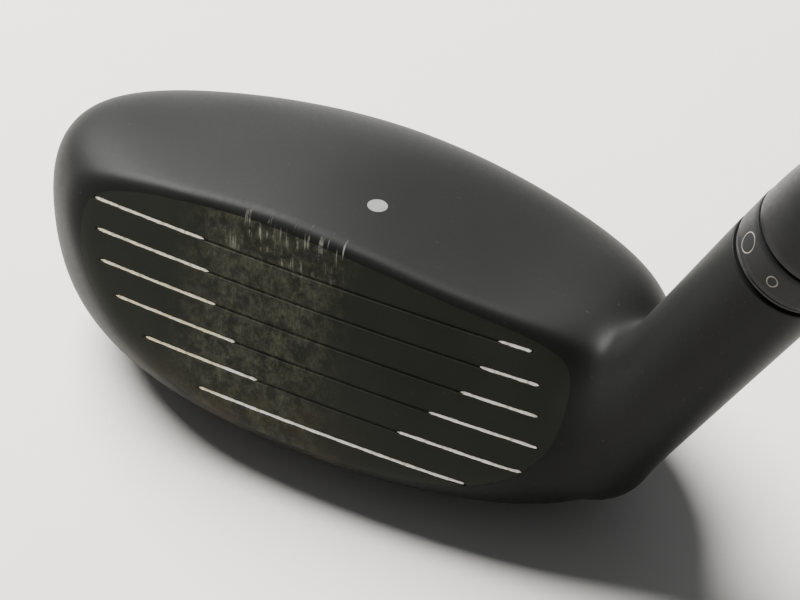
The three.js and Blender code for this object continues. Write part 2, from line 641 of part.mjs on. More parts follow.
put('head_body', headBody(), BLACK_PAINT);
put('face_plate', facePlate(), FACE_STEEL);
put('crown_shell', crownShell(), BLACK_PAINT);
put('alignment_dot', dotDisc(DOT.radius, DOT.thickness, 0.02), SILVER_PAINT);
put('toe_weight', toeWeight(), TUNGSTEN);
put('damping_pad', dampingPad(), HOT_MELT);
put('rear_weight_screw', rearWeight(), STEEL);
put('rear_weight_seal', weightSeal(), RUBBER);
put('bolt_retainer', spacer(RETAINER), BLACK_PLASTIC);
put('hosel_bolt', hoselBolt(), STEEL);
put('bolt_washer', spacer(WASHER), STEEL);
put('hosel_seal', spacer(SEAL), RUBBER);
put('adapter_sleeve', adapterSleeve(), BLACK_ANODISED);
put('index_collar', spacer(COLLAR), BLACK_ANODISED);
put('ferrule', alongShaft(turned(ferruleProfile())), BLACK_PLASTIC);
put('shaft', alongShaft(turned(shaftProfile())), GRAPHITE);
put('tip_plug', shaftRing(0, PLUG.radius, PLUG.from, PLUG.to, SIDES.slim), CORK);
put('grip_tape', alongShaft(turned(tapeProfile())), PAPER_TAPE);
put('grip', alongShaft(turned(gripProfile())), RUBBER);
put('grip_cap', gripCap(), RUBBER);

export default club;
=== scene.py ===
# Hybrid golf club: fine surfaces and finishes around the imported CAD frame.
# Shapes are worked out in millimetres and written to Blender in metres.
import math

import bpy
import numpy as np
from mathutils import Matrix, Vector


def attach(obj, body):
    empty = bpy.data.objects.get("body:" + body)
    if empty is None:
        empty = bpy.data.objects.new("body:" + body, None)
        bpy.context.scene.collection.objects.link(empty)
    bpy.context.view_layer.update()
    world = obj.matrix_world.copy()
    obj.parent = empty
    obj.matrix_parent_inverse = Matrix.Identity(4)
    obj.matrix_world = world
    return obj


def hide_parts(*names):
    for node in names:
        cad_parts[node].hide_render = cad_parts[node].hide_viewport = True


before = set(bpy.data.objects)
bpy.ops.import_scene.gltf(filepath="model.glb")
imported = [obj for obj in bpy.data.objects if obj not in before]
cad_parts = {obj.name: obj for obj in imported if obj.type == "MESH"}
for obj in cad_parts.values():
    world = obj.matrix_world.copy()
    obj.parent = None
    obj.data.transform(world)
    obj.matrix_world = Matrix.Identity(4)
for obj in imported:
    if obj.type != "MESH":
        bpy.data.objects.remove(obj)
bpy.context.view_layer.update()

MM = 0.001

# ---------------------------------------------------------------- dimensions, in millimetres
LOFT = math.radians(22)
LIE = math.radians(60)
FOOT = np.array([31.16, -8.0, 0.0])            # where the shaft axis meets the ground
AXIS = np.array([math.cos(LIE), 0.0, math.sin(LIE)])
SIDE = np.array([0.0, 1.0, 0.0])               # the second direction across the shaft
OVER = np.cross(AXIS, SIDE)                    # the third, pointing to the toe and up

FACE_FOOT_Y = -26.0
FACE_BULGE, FACE_ROLL, FACE_MIDDLE = 0.0024, 0.0025, 24.2
CROWN = dict(top=38.1, mid_x=-7.2, mid_y=-8.0, fall=0.006, flare=0.00011, run=0.0041, tilt=-0.043,
             steepness=0.93)
PLAN = dict(x=-3.2, y=2.2, half_length=49.6, depth=26.4, power=2.085, skew=-0.209)
SOLE = dict(camber_x=0.0026, camber_y=0.0132, rest_depth=0.6, rest_blend=0.4)
# How far the rounding of each edge and fillet reaches.
BLEND = dict(topline=2.0, skirt=20.5, sole=15.7, hosel=6.0, hosel_sole=8.0, hosel_foot=6.0)
HOSEL = dict(radius=7.65, top=66.6, foot_taper=0.0088, foot_length=14.0, bore=6.2, bore_end=40)
NEAR_MIDDLE = 0.01                             # keeps the plan's outline from dividing by zero

FAN_PIVOT = np.array([30.0, 0.0, 60.0])        # the heel's sections turn about a line here
SPINE_HEIGHT = 17.0                            # the middle of the head's sections
TOE_HEIGHTS, TOE_DEPTHS = (10, 32, 0.5), (-16, 16, 0.5)        # where the toe's tip is looked for
TOE_EASE = 9.0                                 # how slowly the sections' middle leaves the toe's tip
SECTIONS = dict(head=170, fan=50, hosel=14, around=168)
LIP_DROP = 0.25                                # the last hosel section lies this far under the lip
SHEET = 0.5                                    # wall given to the visible skins
SNAP = 0.02                                    # a corner this near to a cut lies on it

# The hosel's lip: radius, height and lean of the surface from square to the axis, outside to inside.
LIP = np.array([
    (7.63, 66.45, 0.2), (7.55, 66.56, 0.8), (7.4, 66.6, 1.5), (6.6, 66.6, 1.6), (6.35, 66.54, 2.4),
    (6.2, 66.3, 3.0), (6.2, 54.0, math.pi), (6.2, 44.0, math.pi)])

FACE_HEEL = dict(x=33, z=20.5, squash=0.93, radius=12.2)       # the face's round end at the heel
FACE_INSET = dict(least=0.3, gain=0.7, low=20.0, high=30.0)    # its edge inside the topline's radius
FACE_GRID = dict(left=-46.0, right=47.0, column=0.33, low=5.0, high=44.0, row=0.55)
CROWN_LOWEST = 19.0                            # no part of the crown's own shell lies lower

SCORE_TOP, SCORE_PITCH = 35.01, 4.32
GROOVE_HALF, GROOVE_DEPTH = 0.3, 0.2
GROOVE_SIDE = (0.16, 0.02)                     # where a groove's side starts and ends about its half width
GROOVE_EASE = 0.3                              # length of the slope at a groove's ends
GROOVE_ROWS = (0.0, 0.08, 0.13, 0.17, 0.21, 0.25, 0.29, 0.33, 0.45)
GROOVE_CLEAR = 0.75                            # the plain rows keep this far from a groove's middle
GROOVE_ENDS = [(-36.8, 32.1), (-35.7, 33.9), (-34.5, 34.5), (-31.2, 35.3), (-25.4, 33.6), (-15.7, 26.1)]
PAINT_ENDS = [(-18.0, 27.2), (-16.5, 25.3), (-14.7, 23.3), (-10.8, 19.4), (-6.6, 15.4)]
PAINT = dict(step=0.2, half=0.2, least_half=0.05, depth=0.03, hollow=0.05, gap=0.15, sheet=0.3)
DOT = dict(x=2.7, y=-0.3, radius=1.4, edge=0.06, rise=0.03, sink=0.01, sheet=0.3)

WEIGHT = dict(x=-2.0, y=13.5, radius=7.2, sunk=0.9, pocket=7.7, cut=6)
WEIGHT_OUT = np.array([2 * SOLE["camber_x"] * WEIGHT["x"], 2 * SOLE["camber_y"] * WEIGHT["y"], -1.0])
WEIGHT_OUT /= np.linalg.norm(WEIGHT_OUT)
WEIGHT_CAMBER = SOLE["camber_x"] * WEIGHT["x"] ** 2 + SOLE["camber_y"] * WEIGHT["y"] ** 2
WEIGHT_PLACE = np.array([WEIGHT["x"], WEIGHT["y"], WEIGHT_CAMBER - SOLE["rest_depth"]])
WEIGHT_FACE = WEIGHT_PLACE - WEIGHT_OUT * WEIGHT["sunk"]
# Screws, as (radius, depth under the screw's face).
WEIGHT_PROFILE = [
    (3.4, 0.0), (3.5, 0.25), (3.9, 0.25), (4.0, 0.0), (6.3, 0.0), (6.6, 0.05), (6.82, 0.2), (6.9, 0.45),
    (6.9, 6.4), (2.8, 6.4), (2.8, 12.4), (2.5, 12.7), (0.05, 12.7)]
WEIGHT_SOCKET = (2.3, 3.2)                     # corner radius and depth of the hexagon

PORT = dict(radius=5.2, cut=12, floor=18.7)    # cut and floor are places along the shaft axis
BOLT_FACE = 12.9                               # the place of the bolt's face along the shaft axis
BOLT_PROFILE = [
    (3.9, 0.0), (4.2, 0.05), (4.36, 0.2), (4.4, 0.4), (4.4, 4.3), (2.4, 4.3), (2.4, 28.6), (2.0, 29.1),
    (0.05, 29.1)]
BOLT_SOCKET = (2.2, 3.0)

# Turned pieces, as (radius, distance along the shaft axis from the ground).
SEAL_PROFILE = [(6.2, 66.9), (7.2, 66.9), (7.3, 67.0), (7.3, 67.3), (7.2, 67.4), (6.2, 67.4)]
COLLAR_PROFILE = [
    (6.15, 67.7), (7.4, 67.7), (7.52, 67.74), (7.6, 67.88), (7.6, 68.6), (7.6, 71.6), (7.6, 72.42),
    (7.52, 72.56), (7.4, 72.6), (6.15, 72.6)]
FERRULE_PROFILE = [
    (6.15, 72.9), (7.38, 72.9), (7.46, 72.94), (7.5, 73.05), (7.49, 74.2), (7.44, 75.6), (7.4, 76.9),
    (7.2, 79.5), (6.86, 83.0), (6.5, 86.0), (6.2, 89.5), (5.9, 93.0), (5.6, 96.8), (5.35, 99.8),
    (5.27, 100.7), (5.2, 100.95), (5.05, 101.0), (4.9, 101.0), (4.9, 79.3), (6.15, 79.3)]
CAP_PROFILE = [
    (0.05, 998.7), (6.0, 998.7), (6.0, 1000.0), (14.9, 1000.0), (15.0, 1000.2), (15.0, 1001.6),
    (14.8, 1002.3), (14.3, 1002.8), (13.6, 1003.0), (9.0, 1003.0), (8.8, 1002.8), (8.4, 1002.8),
    (8.2, 1003.0), (1.2, 1003.0), (1.0, 1002.7), (0.05, 1002.5)]
MARKS = dict(count=8, along=70.0, first=132, step=42.4, radius=7.6, line=0.16, sink=-0.05, rise=0.025)
MARK_SIZES = [(3.0, 2.5), (1.7, 1.5)]          # height and width of the large and the small mark

SHAFT_STATIONS = [(46.5, 4.65), (125, 4.65), (800, 7.6), (998, 7.6)]
SHAFT_TIP_RADIUS = 4.4
SHAFT_BORE = [(6.4, 998.0), (6.4, 800), (2.3, 125)]
SHAFT_BORE_TIP = 2.3
GRIP = dict(mouth=733.0, body=734.2, shoulder=990.7, mouth_radius=8.9, body_radius=9.7,
            shoulder_radius=13.4, swell=1.15, lining=0.6)
GRIP_BUTT = [(990.7, 13.4), (994.0, 14.35), (997.2, 15.08), (999.7, 15.08)]
GRIP_INNER_ENDS = (999.6, 733.05)
GRIP_ROWS = [(733.05, 734.2, 5), (734.6, 990.6, 430), (991, 999.6, 24)]
PATTERN = dict(depth=0.32, pitch=1.25, starts=10, panel=(745, 748, 984, 987), ring_pitch=1.9, ring_from=738)

FACE_OUT = np.array([0.0, -math.cos(LOFT), math.sin(LOFT)])
FACE_UP = np.array([0.0, math.sin(LOFT), math.cos(LOFT)])
RANDOM = np.random.default_rng(7)

# ---------------------------------------------------------------- finishes, light and camera
SCUFFS = dict(x=(-15.0, -1.0), up=(8.0, 40.5), colour=(0.098, 0.100, 0.066))
BLOOM = dict(x=(-44.0, 2.0), z=(0.0, 12.5), colour=(0.040, 0.031, 0.017))
SCRATCHES = dict(x=(-13.5, 3.5), up=(38.6, 42.4), slant=0.16, colour=(0.26, 0.255, 0.22))
FACE_FRONT = (-40.0, -8.5)                     # wear lies between these two, front to back
DUST = (0.075, 0.073, 0.065)
PAINT_WHITE, PAINT_YELLOW, PAINT_GRIME = (0.80, 0.79, 0.72), (0.66, 0.56, 0.27), (0.30, 0.24, 0.14)
STEEL = (0.42, 0.42, 0.43)
SOFT_SHEEN = {"Specular_IOR_Level": 0.12}

FLOOR_TONES = (0.70, 0.69, 0.66), (0.74, 0.73, 0.70)
WORLD = dict(colour=(0.95, 0.97, 1.0, 1), strength=0.13)
LIGHT_TARGET = (0.0, 0.0, 0.02)                # metres, as are the lights' places and sizes
KEY_LIGHT = dict(place=(-0.60, 0.30, 0.80), size=0.75, power=58, colour=(1.0, 0.99, 0.97))
HORIZON_LIGHT = dict(place=(-0.8, 1.5, 0.2), size=1.0, power=6.5, colour=(0.97, 0.98, 1.0))
CAMERA = dict(target=(7.24, -3.15, 23.97), distance=372, azimuth=31.04, elevation=42.24, roll=2.73,
              lens=122.1, sensor=36)


# ---------------------------------------------------------------- the head as one smooth field
# Each field is negative inside the metal and grows by about 1 per millimetre outwards.
def smooth_max(a, b, reach):
    """The larger value, rounded where the two are within reach of each other."""
    h = np.maximum(reach - np.abs(a - b), 0) / reach
    return np.maximum(a, b) + h ** 3 * reach / 6


def smooth_min(a, b, reach):
    return -smooth_max(-a, -b, reach)


def face_bow(x, up):
    return 0.5 * FACE_BULGE * x * x + 0.5 * FACE_ROLL * (up - FACE_MIDDLE) ** 2


def face_place(p):
    """How far up the face a point lies, and its height over the face's flat plane."""
    y = p[..., 1] - FACE_FOOT_Y
    up = y * FACE_UP[1] + p[..., 2] * FACE_UP[2]
    return up, y * FACE_OUT[1] + p[..., 2] * FACE_OUT[2]


def face_field(p):
    up, height = face_place(p)
    return height + face_bow(p[..., 0], up)


def crown_field(p):
    x = np.abs(p[..., 0] - CROWN["mid_x"])
    y = p[..., 1] - CROWN["mid_y"]
    height = CROWN["top"] - CROWN["fall"] * x * x + CROWN["flare"] * x ** 3
    height = height + CROWN["tilt"] * y - CROWN["run"] * y * np.abs(y)
    return (p[..., 2] - height) * CROWN["steepness"]


def plan_field(p):
    y = p[..., 1] - PLAN["y"]
    x = p[..., 0] - PLAN["x"] - PLAN["skew"] * y
    power = PLAN["power"]
    total = np.abs(x / PLAN["half_length"]) ** power + np.abs(y / PLAN["depth"]) ** power
    share = np.maximum(total ** (1 / power), NEAR_MIDDLE / PLAN["depth"])
    return np.maximum(np.hypot(x, y), NEAR_MIDDLE) * (1 - 1 / share)


def sole_field(p):
    camber = SOLE["camber_x"] * p[..., 0] ** 2 + SOLE["camber_y"] * p[..., 1] ** 2
    return smooth_max(0 * camber, camber - SOLE["rest_depth"], SOLE["rest_blend"]) - p[..., 2]


def body_field(p):
    skirt = smooth_max(crown_field(p), plan_field(p), BLEND["skirt"])
    return smooth_max(skirt, sole_field(p), BLEND["sole"])


def axis_place(p):
    """Distance along the shaft axis from the ground, and away from the axis."""
    d = p - FOOT
    along = d @ AXIS
    return along, np.sqrt(np.maximum((d * d).sum(-1) - along ** 2, 0))


def hosel_field(p):
    along, radius = axis_place(p)
    wall = radius - HOSEL["radius"] + HOSEL["foot_taper"] * np.maximum(HOSEL["top"] - along, 0)
    rod = smooth_max(wall, sole_field(p), BLEND["hosel_sole"])
    return smooth_max(rod, HOSEL["foot_length"] - along, BLEND["hosel_foot"])


def outer_field(p):
    shell = smooth_max(body_field(p), face_field(p), BLEND["topline"])
    return smooth_min(shell, hosel_field(p), BLEND["hosel"])


def normals_of(field, p, step=0.02):
    """Outward unit normals of a field's surface."""
    slopes = []
    for k in range(3):
        ahead = np.zeros(3)
        ahead[k] = step
        slopes.append(field(p + ahead) - field(p - ahead))
    n = np.stack(slopes, -1)
    return n / np.maximum(np.linalg.norm(n, axis=-1, keepdims=True), 1e-12)


def reach_of(field, origin, direction, start=0.5, step=1.5, count=60):
    """How far the surface lies from points inside, along unit directions."""
    low = np.zeros(origin.shape[:-1])
    high = np.full(origin.shape[:-1], start)
    going = np.ones(origin.shape[:-1], bool)
    for _ in range(count):
        inside = going & (field(origin + direction * high[..., None]) < 0)
        low = np.where(inside, high, low)
        high = np.where(inside, high + step, high)
        going = inside
        if not going.any():
            break
    for _ in range(26):
        middle = (low + high) / 2
        inside = field(origin + direction * middle[..., None]) < 0
        low = np.where(inside, middle, low)
        high = np.where(inside, high, middle)
    return (low + high) / 2


# ---------------------------------------------------------------- meshes
def grid_faces(rows, columns, wrap=False):
    """Quads of a grid of rows x columns points, as vertex numbers."""
    last = columns if wrap else columns - 1
    r, c = np.meshgrid(np.arange(rows - 1), np.arange(last), indexing="ij")
    n = (c + 1) % columns
    here, above = r * columns, (r + 1) * columns
    return np.stack([here + c, here + n, above + n, above + c], -1).reshape(-1, 4)


def to_triangles(quads):
    return np.concatenate([quads[:, [0, 1, 2]], quads[:, [0, 2, 3]]])


def crossing_points(low, high, field):
    """Where the field changes sign between pairs of points."""
    sign = field(low) > 0
    t0, t1 = np.zeros(len(low)), np.ones(len(low))
    for _ in range(20):
        middle = (t0 + t1) / 2
        same = (field(low + (high - low) * middle[:, None]) > 0) == sign
        t0 = np.where(same, middle, t0)
        t1 = np.where(same, t1, middle)
    return low + (high - low) * ((t0 + t1) / 2)[:, None]


def clip(points, triangles, field, keep):
    """Cuts a triangle mesh along field = 0 and keeps the side where keep * field > 0."""
    g = field(points) * keep
    g = np.where(np.abs(g) < SNAP, 0.0, g)
    corner = g[triangles]
    whole = triangles[(corner >= 0).all(1) & (corner > 0).any(1)]
    crossing = triangles[(corner > 0).any(1) & (corner < 0).any(1)]
    edges = np.concatenate([crossing[:, [k, (k + 1) % 3]] for k in range(3)])
    edges = np.unique(np.sort(edges[g[edges[:, 0]] * g[edges[:, 1]] < 0], axis=1), axis=0)
    number = {tuple(edge): len(points) + i for i, edge in enumerate(edges.tolist())}
    pieces = []
    for tri in crossing.tolist():
        loop = []
        for a, b in zip(tri, tri[1:] + tri[:1]):
            if g[a] >= 0:
                loop.append(a)
            if g[a] * g[b] < 0:
                loop.append(number[min(a, b), max(a, b)])
        pieces += [[loop[0], loop[k], loop[k + 1]] for k in range(1, len(loop) - 1)]
    points = np.concatenate([points, crossing_points(points[edges[:, 0]], points[edges[:, 1]], field)])
    return compact(points, np.concatenate([whole, np.array(pieces, int).reshape(-1, 3)]))


def compact(points, faces):
    """Drops the points that no face uses."""
    used, renumbered = np.unique(faces, return_inverse=True)
    return points[used], renumbered.reshape(faces.shape)


def boundary_edges(faces):
    """Edges that only one face uses, in that face's own direction."""
    count = faces.shape[1]
    edges = np.concatenate([faces[:, [k, (k + 1) % count]] for k in range(count)])
    keys = np.sort(edges, axis=1)
    _, first, times = np.unique(keys, axis=0, return_index=True, return_counts=True)
    return edges[first[times == 1]]


def make_object(name, points, faces, normals=None):
    """A Blender mesh object from points in millimetres, with optional normals for each corner."""
    mesh = bpy.data.meshes.new(name)
    mesh.from_pydata((points * MM).tolist(), [], [list(map(int, f)) for f in faces])
    mesh.update()
    mesh.shade_smooth()
    if normals is not None:
        mesh.normals_split_custom_set(normals.tolist())
    obj = bpy.data.objects.new(name, mesh)
    bpy.context.scene.collection.objects.link(obj)
    return obj


def thick_object(name, points, faces, normals, thickness=SHEET):
    """A closed thin shell under a surface, which keeps the surface's exact shading."""
    inner = points - normals * thickness
    rim = boundary_edges(faces)
    count = len(points)
    rim_faces = np.stack([rim[:, 1], rim[:, 0], rim[:, 0] + count, rim[:, 1] + count], -1)
    both = [*faces, *(faces[:, ::-1] + count), *rim_faces]
    allp = np.concatenate([points, inner])
    a, b, c = (allp[rim_faces[:, k]] for k in (0, 1, 2))
    flat = np.cross(b - a, c - b)
    flat = flat / np.maximum(np.linalg.norm(flat, axis=1, keepdims=True), 1e-12)
    corner = np.concatenate([
        normals[faces.ravel()], -normals[faces[:, ::-1].ravel()], np.repeat(flat, 4, axis=0)])
    return make_object(name, allp, both, corner)


def around_shaft(angle):
    """Unit directions across the shaft axis."""
    return np.cos(angle)[:, None] * SIDE + np.sin(angle)[:, None] * OVER


def loft(name, loops, flip=False):
    """A closed surface through loops of points, the last joined to the first."""
    loops = np.array(loops)
    rows, count = loops.shape[:2]
    last = grid_faces(2, count, wrap=True)
    last = np.where(last < count, last + (rows - 1) * count, last - count)
    faces = np.concatenate([grid_faces(rows, count, wrap=True), last])
    return make_object(name, loops.reshape(-1, 3), faces[:, ::-1] if flip else faces)


def turned(name, profile, segments=96):
    """A piece turned about the shaft axis from (radius, along) points, with its sharp edges kept."""
    across = around_shaft(np.linspace(0, 2 * math.pi, segments, endpoint=False))
    obj = loft(name, [FOOT + AXIS * along + across * radius for radius, along in profile], flip=True)
    crease(obj)
    return obj


def crease(obj, angle=35):
    """Shades edges sharper than an angle in degrees as edges."""
    obj.data.set_sharp_from_angle(angle=math.radians(angle))


def round_loop(centre, direction, radius, sides=96, hexagon=False):
    """A circle, or a hexagon of the same corner radius, square to a direction."""
    a = np.cross(direction, np.array([0.0, 1.0, 0.0]))
    a /= np.linalg.norm(a)
    b = np.cross(direction, a)
    angle = np.linspace(0, 2 * math.pi, sides, endpoint=False)
    if hexagon:
        sector = np.mod(angle, math.pi / 3) - math.pi / 6
        radius = radius * math.cos(math.pi / 6) / np.cos(sector)
    across = np.cos(angle)[:, None] * a + np.sin(angle)[:, None] * b
    return centre + across * np.reshape(radius, (-1, 1))


# ---------------------------------------------------------------- the head's skin
def toe_point():
    """The head's farthest point towards the toe."""
    z, y = np.meshgrid(np.arange(*TOE_HEIGHTS), np.arange(*TOE_DEPTHS), indexing="ij")
    origin = np.stack([0 * y, y, z], -1).reshape(-1, 3)
    origin = origin[outer_field(origin) < 0]
    direction = np.tile([-1.0, 0, 0], (len(origin), 1))
    point = origin + direction * reach_of(outer_field, origin, direction)[:, None]
    return point[point[:, 0].argmin()]


def skin_sections(toe, head_steps, fan_steps, hosel_steps):
    """Origins and upward directions of the skin's sections, from toe to hosel mouth."""
    origins, ups = [], []
    for i in range(1, head_steps + 1):
        t = 1 - math.cos(math.pi / 2 * i / head_steps)
        x = toe[0] + (FAN_PIVOT[0] - toe[0]) * t
        near = math.exp(-(x - toe[0]) / TOE_EASE)
        origins.append([x, toe[1] * near, SPINE_HEIGHT + (toe[2] - SPINE_HEIGHT) * near])
        ups.append([0, 0, 1])
    last_reach = (FAN_PIVOT - FOOT) @ OVER
    for i in range(1, fan_steps + 1):
        t = i / fan_steps
        up = np.array([-math.sin(LIE * t), 0, math.cos(LIE * t)])
        ease = t * t * (3 - 2 * t)
        origin = FAN_PIVOT - up * ((FAN_PIVOT[2] - SPINE_HEIGHT) * (1 - ease) + last_reach * ease)
        origin[1] = FOOT[1] * ease
        origins.append(origin)
        ups.append(up)
    fan_end = (FAN_PIVOT - FOOT) @ AXIS
    for i in range(1, hosel_steps + 1):
        along = fan_end + (HOSEL["top"] - LIP_DROP - fan_end) * i / hosel_steps
        origins.append(FOOT + AXIS * along)
        ups.append(OVER)
    return np.array(origins, float), np.array(ups, float)


def hosel_mouth(angle):
    """Rings that round the hosel's lip and run down its bore."""
    across = around_shaft(angle)
    return np.array([FOOT + AXIS * along + across * radius for radius, along, _ in LIP])


def skin_normals(p):
    """Normals of the outer skin, with the hosel's lip and bore shaded as turned surfaces."""
    normals = normals_of(outer_field, p)
    along, radius = axis_place(p)
    bore = (radius < HOSEL["bore"] + 0.1) & (along > HOSEL["bore_end"])
    mouth = bore | (along > LIP[0, 1] - 0.05)
    lean = np.interp(radius, LIP[5::-1, 0], LIP[5::-1, 2])
    away = (p - FOOT - AXIS * along[:, None]) / np.maximum(radius, 0.01)[:, None]
    lip = away * np.cos(lean)[:, None] + AXIS * np.sin(lean)[:, None]
    return np.where(mouth[:, None], lip, normals)


def head_skin():
    """The whole outer skin as points and triangles."""
    toe = toe_point()
    around = SECTIONS["around"]
    origins, ups = skin_sections(toe, SECTIONS["head"], SECTIONS["fan"], SECTIONS["hosel"])
    angle = np.linspace(0, 2 * math.pi, around, endpoint=False)
    direction = np.cos(angle)[None, :, None] * SIDE + np.sin(angle)[None, :, None] * ups[:, None]
    start = np.repeat(origins[:, None], around, axis=1)
    rings = start + direction * reach_of(outer_field, start, direction)[..., None]
    rings = np.concatenate([rings, hosel_mouth(angle)])
    tip = rings.shape[0] * around
    ring = np.arange(around)
    fan = np.stack([(ring + 1) % around, ring, np.full(around, tip)], -1)
    quads = grid_faces(len(rings), around, wrap=True)
    points = np.concatenate([rings.reshape(-1, 3), toe[None]])
    return points, np.concatenate([to_triangles(quads), fan])


def smooth_step(low, high, x):
    t = np.clip((x - low) / (high - low), 0, 1)
    return t * t * (3 - 2 * t)


def face_edge(p):
    """Negative inside the visible face: below the topline's radius and short of the heel."""
    x, z = p[..., 0] - FACE_HEEL["x"], p[..., 2] - FACE_HEEL["z"]
    heel = np.where(x > 0, np.hypot(x, z * FACE_HEEL["squash"]) - FACE_HEEL["radius"], -1.0)
    inset = FACE_INSET["gain"] * smooth_step(FACE_INSET["low"], FACE_INSET["high"], p[..., 2])
    return np.maximum(body_field(p) + (FACE_INSET["least"] + inset), heel)


def bezier(a, b, c, count=10):
    """Points of a quadratic curve from a to c, without c itself."""
    t = np.linspace(0, 1, count, endpoint=False)[:, None]
    return np.array(a) * (1 - t) ** 2 + 2 * np.array(b) * t * (1 - t) + np.array(c) * t ** 2


CROWN_OUTLINE = np.concatenate([
    bezier((-40.0, -2.0), (-40.0, -6.5), (-34.0, -6.5)),
    bezier((-34.0, -6.5), (-10.0, -6.5), (15.0, -6.5), 4),
    bezier((15.0, -6.5), (27.0, -6.5), (27.0, 2.0)),
    bezier((27.0, 2.0), (28.0, 15.0), (6.0, 21.5)),
    bezier((6.0, 21.5), (-40.0, 22.0), (-40.0, -2.0))])


def outline_distance(xy, outline):
    """Signed distance to a closed outline, negative inside."""
    best = np.full(len(xy), 1e9)
    inside = np.zeros(len(xy), bool)
    for a, b in zip(outline, np.roll(outline, -1, axis=0)):
        edge = b - a
        t = np.clip(((xy - a) @ edge) / (edge @ edge), 0, 1)
        best = np.minimum(best, np.linalg.norm(xy - a - t[:, None] * edge, axis=1))
        rises = (a[1] > xy[:, 1]) != (b[1] > xy[:, 1])
        slope = edge[1] if abs(edge[1]) > 1e-9 else 1e-9
        inside ^= rises & (xy[:, 0] < a[0] + (xy[:, 1] - a[1]) * edge[0] / slope)
    return np.where(inside, -best, best)


def crown_edge(p):
    """Negative on the crown's own shell."""
    return np.maximum(outline_distance(p[:, :2], CROWN_OUTLINE), CROWN_LOWEST - p[:, 2])


def weight_edge(p):
    """Negative inside the rear weight's pocket."""
    d = p - WEIGHT_FACE
    depth = d @ WEIGHT_OUT
    away = np.sqrt(np.maximum((d * d).sum(-1) - depth ** 2, 0)) - WEIGHT["radius"]
    return np.maximum(away, -depth - WEIGHT["cut"])


def port_edge(p):
    """Negative inside the bolt port in the sole."""
    along, radius = axis_place(p)
    return np.maximum(radius - PORT["radius"], along - PORT["cut"])


def tube_wall(name, centre, outwards, radius, lip=0.25, short=0.12):
    """The wall of a round hole, from a flat floor out to just under the skin that it opens through."""
    loops = []
    for reach, wall in ((0.0, radius + lip), (0.0, radius), (1.0, radius), (1.0, radius + lip)):
        foot = round_loop(centre, outwards, wall)
        direction = np.broadcast_to(outwards, foot.shape)
        length = reach_of(outer_field, foot, direction) - short
        loops.append(foot + direction * (length * reach)[:, None])
    return loft(name, loops[::-1])


def groove_depth(x, up):
    """How deep the face is cut at a place, from the six grooves."""
    depth = np.zeros(np.broadcast(x, up).shape)
    for line, (left, right) in enumerate(GROOVE_ENDS):
        away = np.abs(up - (SCORE_TOP - line * SCORE_PITCH))
        across = 1 - smooth_step(GROOVE_HALF - GROOVE_SIDE[0], GROOVE_HALF + GROOVE_SIDE[1], away)
        ends = smooth_step(left - GROOVE_EASE, left + GROOVE_EASE, x)
        ends = ends * (1 - smooth_step(right - GROOVE_EASE, right + GROOVE_EASE, x))
        depth = np.maximum(depth, GROOVE_DEPTH * across * ends)
    return depth


def groove_slopes(x, up, step=0.02):
    """How fast the cut deepens up the face and along it."""
    upwards = groove_depth(x, up + step) - groove_depth(x, up - step)
    sideways = groove_depth(x + step, up) - groove_depth(x - step, up)
    return upwards / (2 * step), sideways / (2 * step)


def face_surface(x, up, behind=9.0):
    """Points of the outer surface over places on the face, without the grooves."""
    origin = np.stack([x, FACE_FOOT_Y + up * FACE_UP[1], up * FACE_UP[2]], -1) - FACE_OUT * behind
    direction = np.broadcast_to(FACE_OUT, origin.shape)
    return origin + direction * reach_of(outer_field, origin, direction, step=0.4, count=50)[..., None]


def face_rows():
    """Heights of the face grid's rows, closer together across each groove."""
    rows = list(np.arange(FACE_GRID["low"], FACE_GRID["high"], FACE_GRID["row"]))
    for line in range(len(GROOVE_ENDS)):
        middle = SCORE_TOP - line * SCORE_PITCH
        rows = [r for r in rows if abs(r - middle) > GROOVE_CLEAR]
        rows += [middle + side * a for a in GROOVE_ROWS for side in ((1, -1) if a else (1,))]
    return np.array(sorted(rows))


def face_skin():
    """The face with its grooves cut in, as points, triangles and normals."""
    columns = np.arange(FACE_GRID["left"], FACE_GRID["right"], FACE_GRID["column"])
    x, up = np.meshgrid(columns, face_rows())
    smooth = face_surface(x, up)
    points, faces = clip(smooth.reshape(-1, 3), to_triangles(grid_faces(*x.shape)), face_edge, -1)
    height, _ = face_place(points)
    cut = groove_depth(points[:, 0], height)
    lean, slide = groove_slopes(points[:, 0], height)
    normals = normals_of(outer_field, points)
    normals = normals + lean[:, None] * FACE_UP + slide[:, None] * np.array([1.0, 0, 0])
    normals /= np.linalg.norm(normals, axis=1, keepdims=True)
    return points - FACE_OUT * cut[:, None], faces, normals


